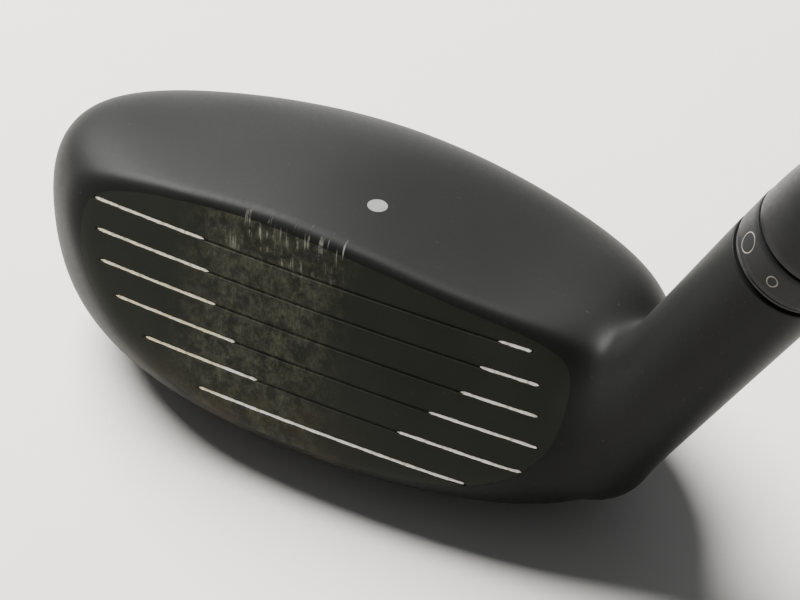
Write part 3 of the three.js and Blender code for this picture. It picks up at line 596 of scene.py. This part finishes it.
# ---------------------------------------------------------------- materials
class Nodes:
    """A material's node tree, with short calls for the nodes used here."""

    def __init__(self, name):
        self.material = bpy.data.materials.new(name)
        self.material.use_nodes = True
        self.tree = self.material.node_tree
        self.shader = self.tree.nodes["Principled BSDF"]

    def add(self, kind, **settings):
        node = self.tree.nodes.new(kind)
        for key, value in settings.items():
            setattr(node, key, value)
        return node

    def link(self, output, socket):
        self.tree.links.new(output, socket)

    def place(self, scale=(1, 1, 1)):
        """Object coordinates in millimetres, stretched by scale."""
        where = self.add("ShaderNodeTexCoord").outputs["Object"]
        mapping = self.add("ShaderNodeMapping")
        mapping.inputs["Scale"].default_value = tuple(s / MM for s in scale)
        self.link(where, mapping.inputs["Vector"])
        return mapping.outputs["Vector"]

    def axes(self):
        """Object coordinates in millimetres as three values."""
        split = self.add("ShaderNodeSeparateXYZ")
        self.link(self.place(), split.inputs["Vector"])
        return split.outputs["X"], split.outputs["Y"], split.outputs["Z"]

    def noise_at(self, vector, scale, detail=4.0, roughness=0.55):
        node = self.add("ShaderNodeTexNoise")
        node.inputs["Scale"].default_value = scale
        node.inputs["Detail"].default_value = detail
        node.inputs["Roughness"].default_value = roughness
        self.link(vector, node.inputs["Vector"])
        return node.outputs["Fac"]

    def noise(self, scale, stretch=(1, 1, 1), detail=4.0, roughness=0.55):
        """Noise with about scale lumps for each millimetre."""
        return self.noise_at(self.place(stretch), scale, detail, roughness)

    def window(self, value, low, high, soft):
        """1 between low and high, fading to 0 over soft outside them."""
        return self.product(self.ramp(value, low - soft, low), self.ramp(value, high + soft, high))

    def ramp(self, value, low, high, a=0.0, b=1.0):
        node = self.add("ShaderNodeMapRange")
        self.link(value, node.inputs["Value"])
        for key, number in (("From Min", low), ("From Max", high), ("To Min", a), ("To Max", b)):
            node.inputs[key].default_value = number
        return node.outputs["Result"]

    def math(self, kind, a, b):
        node = self.add("ShaderNodeMath", operation=kind)
        for socket, value in zip(node.inputs, (a, b)):
            if isinstance(value, bpy.types.NodeSocket):
                self.link(value, socket)
            else:
                socket.default_value = value
        return node.outputs["Value"]

    def product(self, first, *others):
        for other in others:
            first = self.math("MULTIPLY", first, other)
        return first

    def mix(self, factor, a, b):
        node = self.add("ShaderNodeMix", data_type="RGBA")
        for socket, value in ((node.inputs[0], factor), (node.inputs[6], a), (node.inputs[7], b)):
            if isinstance(value, tuple):
                socket.default_value = (*value, 1.0)
            elif isinstance(value, (int, float)):
                socket.default_value = value
            else:
                self.link(value, socket)
        return node.outputs[2]

    def bump(self, height, strength, distance=0.05):
        node = self.add("ShaderNodeBump")
        node.inputs["Strength"].default_value = strength
        node.inputs["Distance"].default_value = distance * MM
        self.link(height, node.inputs["Height"])
        self.link(node.outputs["Normal"], self.shader.inputs["Normal"])

    def colour(self, value):
        self.link(value, self.shader.inputs["Base Color"])

    def rough(self, value):
        self.link(value, self.shader.inputs["Roughness"])

    def fixed(self, **sockets):
        for key, value in sockets.items():
            self.shader.inputs[key.replace("_", " ")].default_value = value


def scratches(m, x, up, front):
    """How strong the strokes across the topline are, left by balls struck high on the face."""
    slanted = m.math("ADD", x, m.product(up, SCRATCHES["slant"]))
    where = m.add("ShaderNodeCombineXYZ")
    m.link(m.product(slanted, 2.7), where.inputs["X"])
    m.link(m.product(up, 0.16), where.inputs["Y"])
    lines = m.ramp(m.noise_at(where.outputs["Vector"], 1.0, detail=1.5), 0.56, 0.64)
    breaks = m.ramp(m.noise(0.55, detail=3), 0.42, 0.6)
    frayed = m.math("ADD", up, m.product(m.noise(1.1, (1, 0.2, 0.2), detail=2), 5.0))
    zone = m.product(m.window(x, *SCRATCHES["x"], 1.5), m.window(frayed, *SCRATCHES["up"], 1.2))
    return m.product(lines, breaks, zone, front)


def scuffs(m, x, up, front):
    """How strong the marks of balls are in the middle of the face."""
    blotch = m.ramp(m.noise(0.55, detail=8, roughness=0.78), 0.42, 0.66)
    streak = m.ramp(m.noise(1.8, (2.2, 0.7, 0.7), detail=5, roughness=0.7), 0.40, 0.68)
    zone = m.product(m.window(x, *SCUFFS["x"], 8.0), m.window(up, *SCUFFS["up"], 4.0), front)
    return m.product(blotch, m.ramp(streak, 0, 1, 0.35, 1.0), zone)


def bloom(m, x, z, front):
    """How strong the brown stain is, low on the toe side of the face."""
    zone = m.product(m.window(x, *BLOOM["x"], 10.0), m.window(z, *BLOOM["z"], 4.0), front)
    return m.product(zone, m.ramp(m.noise(0.25, detail=5), 0.35, 0.75))


def worn_black(name, dark, light, gloss, grain, grain_bump, scuff_share):
    """Satin black finish with ball scuffs, topline scratches, a brown stain and some dust."""
    m = Nodes(name)
    x, y, z = m.axes()
    rise = m.product(m.math("ADD", y, -FACE_FOOT_Y), FACE_UP[1])
    up = m.math("ADD", rise, m.product(z, FACE_UP[2]))
    front = m.window(y, *FACE_FRONT, 1.5)
    scuff = scuffs(m, x, up, front)
    strokes = scratches(m, x, up, front)
    colour = m.mix(m.ramp(m.noise(0.06, detail=2), 0.3, 0.7), dark, light)
    colour = m.mix(m.product(scuff, scuff_share), colour, SCUFFS["colour"])
    colour = m.mix(m.product(bloom(m, x, z, front), 0.6), colour, BLOOM["colour"])
    colour = m.mix(m.product(strokes, 0.6), colour, SCRATCHES["colour"])
    m.colour(m.mix(m.ramp(m.noise(1.9, detail=2), 0.70, 0.78, 0.0, 0.3), colour, DUST))
    rough = m.ramp(m.noise(1.5, detail=6), 0.3, 0.7, gloss - 0.02, gloss + 0.03)
    m.rough(m.math("ADD", rough, m.product(m.math("ADD", scuff, strokes), 0.15)))
    m.bump(m.math("ADD", m.noise(grain, detail=2), m.product(strokes, 0.8)), grain_bump, 0.03)
    m.fixed(Specular_IOR_Level=0.06)
    return m.material


def plain(name, colour, roughness, metallic=0.0, grain=4.0, spread=0.1, bump=0.1, **fixed):
    """A finish with a little variation of tone, gloss and surface."""
    m = Nodes(name)
    darker = tuple(c * (1 - spread * 2) for c in colour)
    m.colour(m.mix(m.ramp(m.noise(grain * 0.3), 0.3, 0.7), darker, colour))
    m.rough(m.ramp(m.noise(grain), 0.3, 0.7, roughness * 0.85, min(roughness * 1.15, 1.0)))
    m.bump(m.noise(grain * 2), bump, 0.03)
    m.fixed(Metallic=metallic, **fixed)
    return m.material


def groove_paint():
    """Filler paint: whitest high up and at the heel, yellowed in patches lower down at the toe."""
    m = Nodes("groove_paint")
    x, _, z = m.axes()
    low = m.ramp(z, 37.0, 14.0, 0.25, 1.0)
    patch = m.ramp(m.noise(0.5), 0.4, 0.7)
    toe = m.window(x, -60.0, -14.0, 3.0)
    yellow = m.product(low, toe, m.ramp(patch, 0, 1, 0.6, 1.0))
    grime = m.ramp(m.noise(1.3, detail=6), 0.5, 0.72, 0.0, 0.8)
    m.colour(m.mix(grime, m.mix(yellow, PAINT_WHITE, PAINT_YELLOW), PAINT_GRIME))
    m.rough(m.ramp(m.noise(2.0), 0.3, 0.7, 0.5, 0.7))
    m.bump(m.noise(4.0), 0.4, 0.05)
    return m.material


def graphite():
    """Clear-coated black shaft with a faint wound-fibre figure."""
    m = Nodes("graphite")
    figure = m.noise(0.5, (1.0, 3.0, 1.0), detail=5)
    m.colour(m.mix(m.ramp(figure, 0.35, 0.7), (0.010, 0.0105, 0.012), (0.024, 0.025, 0.028)))
    m.rough(m.ramp(m.noise(0.3, detail=6), 0.3, 0.7, 0.2, 0.3))
    m.bump(m.noise(3.0), 0.04, 0.02)
    m.fixed(Coat_Weight=0.6, Coat_Roughness=0.08)
    return m.material


def moulded_rubber():
    """Matte black rubber with faint paler clouds, as a handled grip has."""
    m = Nodes("moulded_rubber")
    clouds = m.ramp(m.noise(0.12, detail=6), 0.35, 0.7)
    m.colour(m.mix(clouds, (0.010, 0.010, 0.0105), (0.022, 0.022, 0.021)))
    m.rough(m.ramp(m.noise(0.8, detail=6), 0.3, 0.7, 0.72, 0.88))
    m.bump(m.noise(3.5), 0.3, 0.08)
    return m.material


def finish_piece(obj, material, body, slot, *nodes):
    """Gives a piece its material and body, and hides the CAD nodes that it replaces; slot is not used."""
    obj.data.materials.clear()
    obj.data.materials.append(material)
    if nodes:
        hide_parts(*nodes)
    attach(obj, body)


# ---------------------------------------------------------------- building the head
def build_head():
    paint = worn_black("head_paint", (0.0080, 0.0084, 0.0080), (0.0100, 0.0104, 0.0098), gloss=0.47,
                       grain=6.0, grain_bump=0.12, scuff_share=0.0)
    face_paint = worn_black("face_finish", (0.0130, 0.0141, 0.0112), (0.0180, 0.0192, 0.0150), gloss=0.5,
                            grain=8.0, grain_bump=0.2, scuff_share=0.85)
    points, faces = clip(*head_skin(), face_edge, 1)
    body = clip(points, faces, crown_edge, 1)
    crown = clip(points, faces, crown_edge, -1)
    body = clip(*clip(*body, weight_edge, 1), port_edge, 1)
    piece = thick_object("head_body_skin", *body, skin_normals(body[0]))
    finish_piece(piece, paint, "head", "head_paint", "head_body")
    piece = thick_object("crown_skin", *crown, skin_normals(crown[0]))
    finish_piece(piece, paint, "head", "head_paint", "crown_shell")
    piece = thick_object("face_skin", *face_skin())
    finish_piece(piece, face_paint, "head", "face_paint", "face_plate")
    piece = tube_wall("bolt_port_wall", FOOT + AXIS * PORT["floor"], -AXIS, PORT["radius"])
    finish_piece(piece, paint, "head", "head_paint")
    pocket_floor = WEIGHT_FACE - WEIGHT_OUT * WEIGHT["pocket"]
    piece = tube_wall("weight_pocket_wall", pocket_floor, WEIGHT_OUT, WEIGHT["radius"])
    finish_piece(piece, paint, "head", "head_paint")


def ragged(places, width, amount):
    """Widths that wander a little from place to place along a line."""
    parts = ((1.3, 0.5), (3.1, 0.3), (7.7, 0.3))
    waves = sum(np.sin(places * pitch + RANDOM.uniform(0, 6)) * share for pitch, share in parts)
    return width * (1 + amount * waves)


def paint_strip(line, left, right):
    """A groove's filler as points and faces, a little under the face and ragged at its edges."""
    along = np.arange(left, right + 0.01, PAINT["step"])
    across = np.linspace(-1, 1, 7)
    half = ragged(along, PAINT["half"], 0.2) * smooth_step(left - 0.1, left + 0.5, along)
    half = np.maximum(half * (1 - smooth_step(right - 0.5, right + 0.1, along)), PAINT["least_half"])
    x = np.repeat(along[:, None], len(across), 1)
    middle = SCORE_TOP - line * SCORE_PITCH + ragged(along, 0.02, 1.0) - 0.02
    up = middle[:, None] + half[:, None] * across
    depth = PAINT["depth"] + PAINT["hollow"] * across[None] ** 2 + 0 * x
    points = face_surface(x, up) - FACE_OUT * depth[..., None]
    return points.reshape(-1, 3), to_triangles(grid_faces(*x.shape))[:, ::-1]


def paint_segments():
    """The painted stretches: toe and heel ends of the upper five grooves, and the lowest one in full."""
    gap = PAINT["gap"]
    for line, ((left, right), (toe_end, heel_start)) in enumerate(zip(GROOVE_ENDS, PAINT_ENDS)):
        yield line, left + gap, toe_end
        yield line, heel_start, right - gap
    yield len(PAINT_ENDS), GROOVE_ENDS[-1][0] + gap, GROOVE_ENDS[-1][1] - gap


def build_groove_paint():
    material = groove_paint()
    for number, (line, left, right) in enumerate(paint_segments()):
        points, faces = paint_strip(line, left, right)
        normals = normals_of(face_field, points)
        piece = thick_object("groove_paint_%02d" % number, points, faces, normals, PAINT["sheet"])
        finish_piece(piece, material, "head", "face_paint")


def build_dot():
    """The alignment dot: a thin disc that follows the crown, with a rounded-down edge."""
    radius = np.concatenate([np.linspace(0.001, DOT["radius"] - DOT["edge"], 6), [DOT["radius"]]])
    angle = np.linspace(0, 2 * math.pi, 64, endpoint=False)
    x = DOT["x"] + radius[:, None] * np.cos(angle)
    y = DOT["y"] + radius[:, None] * np.sin(angle)
    origin = np.stack([x, y, np.full(x.shape, SPINE_HEIGHT)], -1)
    upward = np.broadcast_to(np.array([0.0, 0.0, 1.0]), origin.shape)
    top = origin + upward * reach_of(outer_field, origin, upward)[..., None]
    normals = normals_of(outer_field, top)
    rise = np.full(len(radius), DOT["rise"])
    rise[-1] = -DOT["sink"]
    points = (top + normals * rise[:, None, None]).reshape(-1, 3)
    faces = grid_faces(len(radius), len(angle), wrap=True)[:, ::-1]
    dot = thick_object("alignment_dot_disc", points, faces, normals.reshape(-1, 3), DOT["sheet"])
    silver = plain("dot_paint", (0.165, 0.17, 0.16), 0.5, 0.15, grain=3.0, spread=0.08, bump=0.15)
    finish_piece(dot, silver, "head", "dot_paint", "alignment_dot")


# ---------------------------------------------------------------- hosel, rear weight, shaft and grip
def socket_head(name, centre, inward, profile, socket):
    """A screw head with a hexagon socket; profile is (radius, depth) from the socket's rim outwards."""
    corner, depth = socket
    loops = [round_loop(centre + inward * depth, inward, 0.05)]
    wall = ((corner - 0.25, depth), (corner, depth - 0.2), (corner, 0.35), (corner + 0.25, 0.1))
    for radius, place in wall:
        loops.append(round_loop(centre + inward * place, inward, radius, hexagon=True))
    loops += [round_loop(centre + inward * place, inward, radius) for radius, place in profile]
    obj = loft(name, loops)
    crease(obj)
    return obj


def ring_mark(name, angle, tall, wide):
    """A raised open ring on the collar, as an index mark."""
    turn = np.linspace(0, 2 * math.pi, 48, endpoint=False)
    line, radius = MARKS["line"], MARKS["radius"]
    loops = []
    for grow, lift in ((0, "sink"), (0, "rise"), (line, "rise"), (line, "sink")):
        around = math.radians(angle) + np.cos(turn) * (wide / 2 + grow - line) / radius
        height = MARKS["along"] + np.sin(turn) * (tall / 2 + grow - line)
        loops.append(FOOT + height[:, None] * AXIS + around_shaft(around) * (radius + MARKS[lift]))
    return loft(name, loops)


def build_collar():
    """The seal under the collar, the collar and its index marks."""
    anodised = plain("collar_anodised", (0.013, 0.0133, 0.014), 0.45, grain=3.0, bump=0.12, **SOFT_SHEEN)
    rubber = plain("seal_rubber", (0.008, 0.008, 0.008), 0.7)
    seal = turned("hosel_seal_ring", SEAL_PROFILE)
    finish_piece(seal, rubber, "shaft_seat", "seal_rubber", "hosel_seal")
    collar = turned("index_collar_ring", COLLAR_PROFILE, 128)
    finish_piece(collar, anodised, "collar", "black_anodised", "index_collar")
    mark_paint = plain("mark_paint", (0.19, 0.175, 0.14), 0.55, grain=3.0, spread=0.2)
    for number in range(MARKS["count"]):
        angle = MARKS["first"] + MARKS["step"] * number
        mark = ring_mark("index_mark_%d" % number, angle, *MARK_SIZES[number % 2])
        finish_piece(mark, mark_paint, "collar", "black_anodised")


def build_ferrule():
    black = plain("ferrule_plastic", (0.009, 0.009, 0.010), 0.38, grain=1.5, bump=0.04, **SOFT_SHEEN)
    ferrule = turned("ferrule_body", FERRULE_PROFILE, 128)
    finish_piece(ferrule, black, "shaft_assembly", "ferrule_plastic", "ferrule")


def build_bolt():
    steel = plain("bolt_steel", STEEL, 0.34, 1.0, grain=5.0, spread=0.15, bump=0.12)
    bolt = socket_head("hosel_bolt_screw", FOOT + AXIS * BOLT_FACE, AXIS, BOLT_PROFILE, BOLT_SOCKET)
    finish_piece(bolt, steel, "hosel_screw", "bolt_steel", "hosel_bolt")


def shaft_radius(along):
    return np.interp(along, *zip(*SHAFT_STATIONS))


def grip_radius(along):
    """The grip's outer radius without its moulded pattern."""
    start, end = GRIP["body"], GRIP["shoulder"]
    thin, thick = GRIP["body_radius"], GRIP["shoulder_radius"]
    body = thin + (thick - thin) * np.clip((along - start) / (end - start), 0, 1) ** GRIP["swell"]
    body = np.where(along > end, np.interp(along, *zip(*GRIP_BUTT)), body)
    mouth = np.interp(along, [GRIP["mouth"], start], [GRIP["mouth_radius"], thin])
    return np.where(along < start, mouth, body)


def grip_pattern(along, angle):
    """Depth of the moulded pattern: fine diamonds in two panels, and rings at the mouth."""
    one = np.sin(along * PATTERN["pitch"] + angle * PATTERN["starts"])
    two = np.sin(along * PATTERN["pitch"] - angle * PATTERN["starts"])
    cell = smooth_step(0.55, 0.9, np.maximum(one, two))
    rise, full, fall, end = PATTERN["panel"]
    panel = smooth_step(-0.35, -0.15, np.cos(2 * angle)) * smooth_step(rise, full, along)
    panel = panel * (1 - smooth_step(fall, end, along))
    rings = smooth_step(0.6, 0.9, np.cos((along - PATTERN["ring_from"]) * PATTERN["ring_pitch"]))
    rings = rings * (1 - smooth_step(743.5, 744, along))
    rings = rings * smooth_step(736, 736.5, along)
    return PATTERN["depth"] * np.maximum(cell * panel, rings)


def build_shaft():
    tip = SHAFT_STATIONS[0][0]
    lengths = np.concatenate([[tip + 0.1], np.linspace(125, 990, 40), [998.0]])
    outside = [(float(shaft_radius(along)), float(along)) for along in lengths]
    profile = [(SHAFT_BORE_TIP, tip), (SHAFT_TIP_RADIUS, tip), *outside, *SHAFT_BORE]
    finish_piece(turned("shaft_tube", profile), graphite(), "shaft_assembly", "shaft_paint", "shaft")


def build_grip():
    """The grip with its moulded pattern, and the cap in its end."""
    rubber = moulded_rubber()
    along = np.concatenate([np.linspace(*row) for row in GRIP_ROWS])
    angle = np.linspace(0, 2 * math.pi, 160, endpoint=False)
    across = around_shaft(angle)
    radius = grip_radius(along)[:, None] - grip_pattern(along[:, None], angle[None])
    outer = FOOT + AXIS * along[:, None, None] + across * radius[..., None]
    lining = [FOOT + AXIS * end + across * (shaft_radius(end) + GRIP["lining"]) for end in GRIP_INNER_ENDS]
    grip = loft("grip_sleeve", np.concatenate([outer, lining])[::-1])
    crease(grip, 50)
    finish_piece(grip, rubber, "shaft_assembly", "grip_rubber", "grip")
    cap = turned("grip_end_cap", CAP_PROFILE)
    finish_piece(cap, rubber, "shaft_assembly", "grip_rubber", "grip_cap")


def build_rear_weight():
    steel = plain("weight_steel", (0.36, 0.36, 0.37), 0.3, 1.0, grain=6.0, spread=0.15, bump=0.15)
    screw = socket_head("rear_weight_disc", WEIGHT_FACE, -WEIGHT_OUT, WEIGHT_PROFILE, WEIGHT_SOCKET)
    finish_piece(screw, steel, "weight_screw", "weight_steel", "rear_weight_screw")


def finish_inner_parts():
    """New finishes for the pieces inside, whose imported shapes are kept."""
    finishes = {
        "toe_weight": plain("tungsten", (0.30, 0.30, 0.31), 0.42, 1.0, grain=3.0, spread=0.2, bump=0.3),
        "damping_pad": plain("hot_melt", (0.55, 0.44, 0.22), 0.35, grain=0.8, spread=0.2, bump=0.3),
        "rear_weight_seal": plain("weight_seal", (0.008, 0.008, 0.008), 0.7),
        "bolt_retainer": plain("retainer_plastic", (0.012, 0.012, 0.013), 0.5),
        "bolt_washer": plain("washer_steel", STEEL, 0.35, 1.0, grain=5.0, spread=0.2),
        "adapter_sleeve": plain("sleeve_anodised", (0.017, 0.0175, 0.019), 0.4, 0.4),
        "tip_plug": plain("cork", (0.42, 0.25, 0.12), 0.9, grain=1.2, spread=0.3, bump=0.6),
        "grip_tape": plain("tape", (0.70, 0.66, 0.55), 0.8, grain=1.5),
    }
    for node, material in finishes.items():
        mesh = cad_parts[node].data
        mesh.materials.clear()
        mesh.materials.append(material)


# ---------------------------------------------------------------- floor, light and camera
def build_stage():
    bpy.ops.mesh.primitive_plane_add(size=12, location=(0, 0, 0))
    floor = bpy.context.object
    floor.name = "studio_floor"
    m = Nodes("studio_floor")
    m.colour(m.mix(m.noise(0.02), *FLOOR_TONES))
    m.fixed(Roughness=0.9)
    floor.data.materials.append(m.material)


def area_light(name, place, size, power, colour):
    """A round lamp that faces the head."""
    data = bpy.data.lights.new(name, "AREA")
    data.shape = "DISK"
    data.size = size
    data.energy = power
    data.color = colour
    light = bpy.data.objects.new(name, data)
    light.location = place
    light.rotation_mode = "QUATERNION"
    light.rotation_quaternion = (Vector(LIGHT_TARGET) - Vector(place)).to_track_quat("-Z", "Y")
    bpy.context.scene.collection.objects.link(light)


def build_lights():
    world = bpy.data.worlds.new("studio")
    world.use_nodes = True
    background = world.node_tree.nodes["Background"]
    background.inputs["Color"].default_value = WORLD["colour"]
    background.inputs["Strength"].default_value = WORLD["strength"]
    bpy.context.scene.world = world
    area_light("key", **KEY_LIGHT)
    area_light("horizon", **HORIZON_LIGHT)


def build_camera():
    azimuth, elevation, roll = (math.radians(CAMERA[key]) for key in ("azimuth", "elevation", "roll"))
    level = math.cos(elevation)
    back = Vector((math.sin(azimuth) * level, -math.cos(azimuth) * level, math.sin(elevation)))
    place = Vector(CAMERA["target"]) * MM + back * (CAMERA["distance"] * MM)
    data = bpy.data.cameras.new("camera")
    data.lens = CAMERA["lens"]
    data.sensor_width = CAMERA["sensor"]
    data.clip_start = 0.01
    camera = bpy.data.objects.new("camera", data)
    turn = (-back).to_track_quat("-Z", "Y").to_matrix().to_4x4()
    camera.matrix_world = Matrix.Translation(place) @ turn @ Matrix.Rotation(-roll, 4, "Z")
    bpy.context.scene.collection.objects.link(camera)
    bpy.context.scene.camera = camera


build_camera()
build_head()
build_groove_paint()
build_dot()
build_collar()
build_ferrule()
build_bolt()
build_shaft()
build_grip()
build_rear_weight()
finish_inner_parts()
build_stage()
build_lights()
